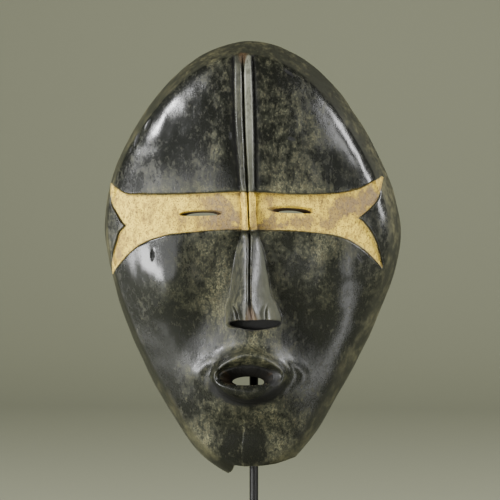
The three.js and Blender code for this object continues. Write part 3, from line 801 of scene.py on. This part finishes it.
def waxed_wood():
    """Carved hardwood, smoked and waxed: near black and glossy where it was handled, olive brown
    where it has worn dry, clay rubbed into the sunk band, raw and dusty behind."""
    material = bpy.data.materials.new("waxed_carved_wood")
    material.use_nodes = True
    tree = material.node_tree
    tree.nodes.clear()
    where = node(tree, "TexCoord").outputs["Object"]

    # Size in mm, detail, roughness, and how far the pattern is drawn out along the grain. The
    # pores are about 0.3 mm wide, too fine to show, so the grain is drawn at 1.1 mm.
    patterns = {
        "blotch": (26, 5, 0.6, 0.8),
        "smudge": (5, 7, 0.7, 0.7),
        "mottle": (1.7, 5, 0.7, 0.6),
        "speck": (0.75, 3, 0.7, 0.8),
        "grain": (1.1, 4, 0.6, 0.07),
        "streak": (3.5, 5, 0.62, 0.16),
    }
    seen = {}
    for name, (size, detail, rough, along_grain) in patterns.items():
        at = node(tree, "Mapping", {"Vector": where, "Scale": (1, 1, along_grain)}).outputs["Vector"]
        seen[name] = node(tree, "TexNoise", {"Vector": at, "Scale": per_mm(size), "Detail": detail,
                                             "Roughness": rough}).outputs["Fac"]
    for name in TOLD:
        seen[name] = node(tree, "Attribute", attribute_name=name, attribute_type="GEOMETRY").outputs["Fac"]

    # Mixtures of those: each is one pattern times a factor, plus another
    mixtures = {
        "worn": ("smudge", 1.0, "blotch"),
        "rubbed": ("wear", 0.13, "worn"),
        "mottled": ("mottle", 2.4, "rubbed"),
        "dusty": ("speck", 1.2, "mottled"),
        "dirty": ("stain", 0.13, "worn"),
        "edge of clay": ("smudge", 0.12, "clay"),
        "scuffed": ("streak", 0.8, "blotch"),
    }
    for name, (pattern, factor, base) in mixtures.items():
        seen[name] = node(tree, "Math", {0: seen[pattern], 1: factor, 2: seen[base]},
                          operation="MULTIPLY_ADD").outputs[0]

    # Finishes laid over each other: what shows them, from and to which value, where only, how
    # strongly, colour, roughness
    finishes = [
        ("rubbed", 0.9, 1.15, None, 0.75, "#1e1f16", 0.46),
        ("mottled", 2.16, 2.46, None, 0.85, "#303123", 0.6),
        ("dusty", 2.86, 3.14, None, 0.75, "#494835", 0.68),
        ("dusty", 3.06, 3.36, None, 0.8, "#6a6649", 0.7),
        ("mottle", 0.5, 0.58, None, 0.7, "#070706", 0.36),
        ("grain", 0.52, 0.74, None, 0.5, "#0f0e0b", 0.3),
        ("polish", 0.0, 1.0, None, 0.65, "#161715", 0.12),
        # Rubbed grey of the ridge and nose, with a painted sheen that is lighter on the right and towards the
        # crown
        ("grey and painted sheen", 0.0, 1.0, None, 0.9, "#626357", 0.36),
        ("smudge", 0.46, 0.6, "grey and painted sheen", 0.45, "#38372c", 0.4),
        ("mottle", 0.49, 0.6, "grey and painted sheen", 0.55, "#25251d", 0.42),
        ("side", 0.0, 1.0, None, 0.85, "#24251b", 0.6),
        ("rubbed", 0.94, 1.2, "side", 0.6, "#4b4932", 0.65),
        ("scuffed", 0.9, 1.15, "side", 0.4, "#5e5a3e", 0.65),
        ("mottle", 0.48, 0.62, "side", 0.7, "#16140e", 0.5),
        ("grain", 0.54, 0.7, "side", 0.5, "#1c1912", 0.55),
        ("crest", 0.0, 1.0, None, 0.3, "#5d5238", 0.36),
        ("cavity", 0.0, 1.0, None, 0.85, "#090806", 0.55),
        ("hollow", 0.0, 1.0, None, 1.0, "#4a3826", 0.8),
        ("grain", 0.45, 0.65, "hollow", 0.7, "#2a1f15", 0.8),
        ("worn", 1.0, 1.2, "hollow", 0.6, "#6d573c", 0.8),
        ("edge of clay", 0.6, 0.63, None, 1.0, "#c3a83b", 0.62),
    ]
    limits = {"Value": seen["edge of clay"], "From Min": 0.6, "From Max": 0.63}
    seen["clay there"] = node(tree, "MapRange", limits, interpolation_type="SMOOTHSTEP").outputs[0]
    finishes += [
        ("edge of clay", 0.72, 0.62, "clay there", 0.75, "#6f6a52", 0.66),
        ("dirty", 0.98, 1.2, "clay there", 0.75, "#8b742f", 0.66),
        ("dirty", 1.17, 1.26, "clay there", 0.85, "#5b4c3e", 0.66),
        ("smudge", 0.51, 0.6, "clay there", 0.55, "#8c7532", 0.66),
        ("mottle", 0.5, 0.6, "clay there", 0.7, "#77602c", 0.7),
        ("speck", 0.53, 0.61, "clay there", 0.85, "#4c3c24", 0.7),
        ("crest", 0.0, 1.0, "clay there", 0.6, "#5a513a", 0.6),
        ("cavity", 0.0, 1.0, "clay there", 0.7, "#474030", 0.7),
        # Painted shade: near black in the nostrils, mouth, eye slits, cuts, beside the ridge and under the
        # lower lip
        ("dark", 0.0, 1.0, None, 0.95, "#050504", 0.7),
        ("bare", 0.1, 0.9, None, 0.9, "#40321e", 0.62),
        ("grain", 0.44, 0.6, "bare", 0.8, "#22140a", 0.62),
    ]
    # Sockets of Math and Mix nodes are named by their numbers, because their names repeat
    colour, roughness = srgb("#0f100c"), 0.26
    for shown, low, high, only, most, code, rough in finishes:
        limits = {"Value": seen[shown], "From Min": low, "From Max": high, "To Max": most}
        share = node(tree, "MapRange", limits, interpolation_type="SMOOTHSTEP").outputs[0]
        if only:
            share = node(tree, "Math", {0: share, 1: seen[only]}, operation="MULTIPLY").outputs[0]
        colour = node(tree, "Mix", {0: share, 6: colour, 7: srgb(code)}, data_type="RGBA").outputs[2]
        roughness = node(tree, "Mix", {0: share, 2: roughness, 3: rough}, data_type="FLOAT").outputs[0]

    relief = seen["speck"]
    for name, height in (("grain", 0.8), ("mottle", 1.6)):
        layers = {0: seen[name], 1: height, 2: relief}
        relief = node(tree, "Math", layers, operation="MULTIPLY_ADD").outputs[0]
    smooth = node(tree, "Math", {0: seen["grey and painted sheen"], 1: seen["polish"]}, operation="MAXIMUM").outputs[0]
    strength = node(tree, "MapRange", {"Value": smooth, "To Min": 0.26, "To Max": 0.08}).outputs[0]
    bump = node(tree, "Bump", {"Height": relief, "Strength": strength,
                               "Distance": 0.25 * MM}).outputs["Normal"]
    shader = node(tree, "BsdfPrincipled", {"Base Color": colour, "Roughness": roughness, "Normal": bump,
                                           "IOR": 1.45, "Specular IOR Level": 0.3})
    node(tree, "OutputMaterial", {"Surface": shader.outputs["BSDF"]})
    return material


def painted_steel():
    """Mild steel bar and plate under brushed satin black paint: nearly black, a soft broad gloss,
    faintly uneven where it has been handled."""
    material = bpy.data.materials.new("satin_black_paint")
    material.use_nodes = True
    tree = material.node_tree
    tree.nodes.clear()
    where = node(tree, "TexCoord").outputs["Object"]
    brushed = node(tree, "TexNoise", {"Vector": where, "Scale": per_mm(0.9), "Detail": 2}).outputs["Fac"]
    rubbed = node(tree, "TexNoise", {"Vector": where, "Scale": per_mm(14), "Detail": 4}).outputs["Fac"]
    tone = node(tree, "Mix", {0: rubbed, 6: srgb("#050505"), 7: srgb("#0b0a0a")}, data_type="RGBA").outputs[2]
    gloss = node(tree, "MapRange", {"Value": rubbed, "From Min": 0.3, "From Max": 0.7,
                                    "To Min": 0.34, "To Max": 0.46}).outputs[0]
    bump = node(tree, "Bump", {"Height": brushed, "Strength": 0.2, "Distance": 0.1 * MM}).outputs["Normal"]
    shader = node(tree, "BsdfPrincipled", {"Base Color": tone, "Roughness": gloss, "Normal": bump,
                                           "Specular IOR Level": 0.25})
    node(tree, "OutputMaterial", {"Surface": shader.outputs["BSDF"]})
    return material


def round_bar(name, path, node_name, steel):
    """A bent round bar along a path of (x, y, z) points in millimetres, in place of its plain solid."""
    line = bpy.data.curves.new(name, "CURVE")
    line.dimensions = "3D"
    line.bevel_depth = ROD_RADIUS * MM
    line.bevel_resolution = 8
    line.use_fill_caps = True
    spline = line.splines.new("POLY")
    spline.points.add(len(path) - 1)
    for point, (x, y, z) in zip(spline.points, path):
        point.co = (x * MM, y * MM, z * MM, 1)
    drawn = bpy.data.objects.new(name, line)
    bpy.context.scene.collection.objects.link(drawn)
    bpy.context.view_layer.update()
    mesh = bpy.data.meshes.new_from_object(drawn.evaluated_get(bpy.context.evaluated_depsgraph_get()))
    bpy.data.objects.remove(drawn)
    bm = bmesh.new()
    bm.from_mesh(mesh)
    bpy.data.meshes.remove(mesh)
    bmesh.ops.remove_doubles(bm, verts=bm.verts, dist=0.01 * MM)
    bmesh.ops.recalc_face_normals(bm, faces=bm.faces)
    piece = new_piece(name, bm)
    piece.data.shade_smooth()
    piece.data.set_sharp_from_angle(angle=math.radians(40))
    piece.data.materials.append(steel)
    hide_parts(node_name)
    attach(piece, "root")


def upright_path():
    """Straight up behind the chin, then forward into the hollow."""
    rear, front = ROD_BEHIND_CENTRE, RIM_Y - ROD_BEND["forward"]
    start, end = CHIN_ABOVE_TABLE + ROD_BEND["start"], CHIN_ABOVE_TABLE + ROD_BEND["end"]
    pull = (end - start) / 2.2
    path = [(0, rear, ROD_FOOT_Z)]
    for i in range(17):
        t = i / 16
        weights = ((1 - t) ** 3, 3 * t * (1 - t) ** 2, 3 * t * t * (1 - t), t**3)
        y = sum(w * v for w, v in zip(weights, (rear, rear, front, front)))
        z = sum(w * v for w, v in zip(weights, (start, start + pull, end - pull, end)))
        path.append((0, y, z))
    path.append((0, front, CHIN_ABOVE_TABLE + HEAD_BAR["h"] - ROD_RADIUS - 1.5 * TOUCH_GAP))
    return path


def head_bar_path():
    """A short arc across the top of the rod, under the crown."""
    radius = HEAD_BAR["radius"]
    half_turn = HEAD_BAR["half length"] / radius
    y = RIM_Y - ROD_BEND["forward"]
    centre_z = CHIN_ABOVE_TABLE + HEAD_BAR["h"] - radius
    turns = [(i / 8 - 1) * half_turn for i in range(17)]
    return [(radius * math.sin(a), y, centre_z + radius * math.cos(a)) for a in turns]


def finish_mask(mask):
    """Gives the mask its finish and puts it in the place of its plain solid."""
    mask.data.shade_smooth()
    mask.data.set_sharp_from_angle(angle=math.radians(62))
    mask.data.materials.clear()
    mask.data.materials.append(waxed_wood())
    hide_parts("mask")
    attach(mask, "root")


def studio_floor():
    """A pale floor that curves up behind the object."""
    bm = bmesh.new()
    sweep, radius = FLOOR["sweep"], FLOOR["radius"]
    profile = [(FLOOR["near"], 0), (sweep, 0)]
    for step in range(1, 9):
        a = step * math.pi / 16
        profile.append((sweep + radius * math.sin(a), radius - radius * math.cos(a)))
    profile.append((sweep + radius, FLOOR["top"]))
    row = [bm.verts.new((-FLOOR["half width"], y, z)) for y, z in profile]
    edges = [bm.edges.new(pair) for pair in zip(row, row[1:])]
    pushed = bmesh.ops.extrude_edge_only(bm, edges=edges)["geom"]
    far_side = [g for g in pushed if isinstance(g, bmesh.types.BMVert)]
    bmesh.ops.translate(bm, verts=far_side, vec=(2 * FLOOR["half width"], 0, 0))
    bmesh.ops.recalc_face_normals(bm, faces=bm.faces)
    floor = new_piece("pale_floor", bm)
    floor.data.shade_smooth()
    material = bpy.data.materials.new("matt_studio_paper")
    material.use_nodes = True
    paper = material.node_tree.nodes["Principled BSDF"].inputs
    paper["Base Color"].default_value = srgb("#757762")
    paper["Roughness"].default_value = 0.9
    floor.data.materials.append(material)


def studio_lights():
    """Soft lights around the mask, and a dim even room."""
    middle = place(0, 124, 30)
    for name, (azimuth, elevation, distance, width, height, power) in LIGHTS.items():
        data = bpy.data.lights.new(name, "AREA")
        data.shape, data.size, data.size_y, data.energy = "RECTANGLE", width, height, power
        light = bpy.data.objects.new(name, data)
        bpy.context.scene.collection.objects.link(light)
        aim(light, middle, azimuth, elevation, distance)
    world = bpy.data.worlds.new("room")
    world.use_nodes = True
    world.node_tree.nodes["Background"].inputs["Color"].default_value = srgb("#c9ccc0")
    world.node_tree.nodes["Background"].inputs["Strength"].default_value = 0.12
    bpy.context.scene.world = world


def studio_camera():
    """The camera, at the photograph's angle and distance."""
    camera_data = bpy.data.cameras.new("camera")
    camera_data.sensor_width = 36
    camera_data.lens = camera_data.sensor_width / 2 * CAMERA["distance"] / CAMERA["half view"]
    camera = bpy.data.objects.new("camera", camera_data)
    bpy.context.scene.collection.objects.link(camera)
    aim(camera, place(-0.56, 124, 20), CAMERA["azimuth"], CAMERA["elevation"], CAMERA["distance"])
    bpy.context.scene.camera = camera


def aim(thing, target, azimuth, elevation, distance):
    """Puts a light or camera at a direction from the target, looking at it."""
    a, e = math.radians(azimuth), math.radians(elevation)
    out = Vector((math.sin(a) * math.cos(e), -math.cos(a) * math.cos(e), math.sin(e)))
    thing.location = target + out * distance
    thing.rotation_euler = (-out).to_track_quat("-Z", "Y").to_euler()


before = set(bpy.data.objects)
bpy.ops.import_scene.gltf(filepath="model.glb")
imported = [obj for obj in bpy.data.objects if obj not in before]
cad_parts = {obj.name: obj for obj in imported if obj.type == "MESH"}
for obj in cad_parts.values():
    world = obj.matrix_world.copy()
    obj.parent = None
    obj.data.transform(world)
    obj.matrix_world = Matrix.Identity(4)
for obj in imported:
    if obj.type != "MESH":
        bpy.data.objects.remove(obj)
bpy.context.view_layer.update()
studio_floor()
studio_lights()
studio_camera()
mask = carve_mask()
surface_values(mask)
finish_mask(mask)
steel = painted_steel()
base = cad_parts["stand_base"]
base.data.materials.clear()
base.data.materials.append(steel)
round_bar("bent_rod", upright_path(), "stand_upright", steel)
round_bar("head_bar", head_bar_path(), "stand_head_bar", steel)
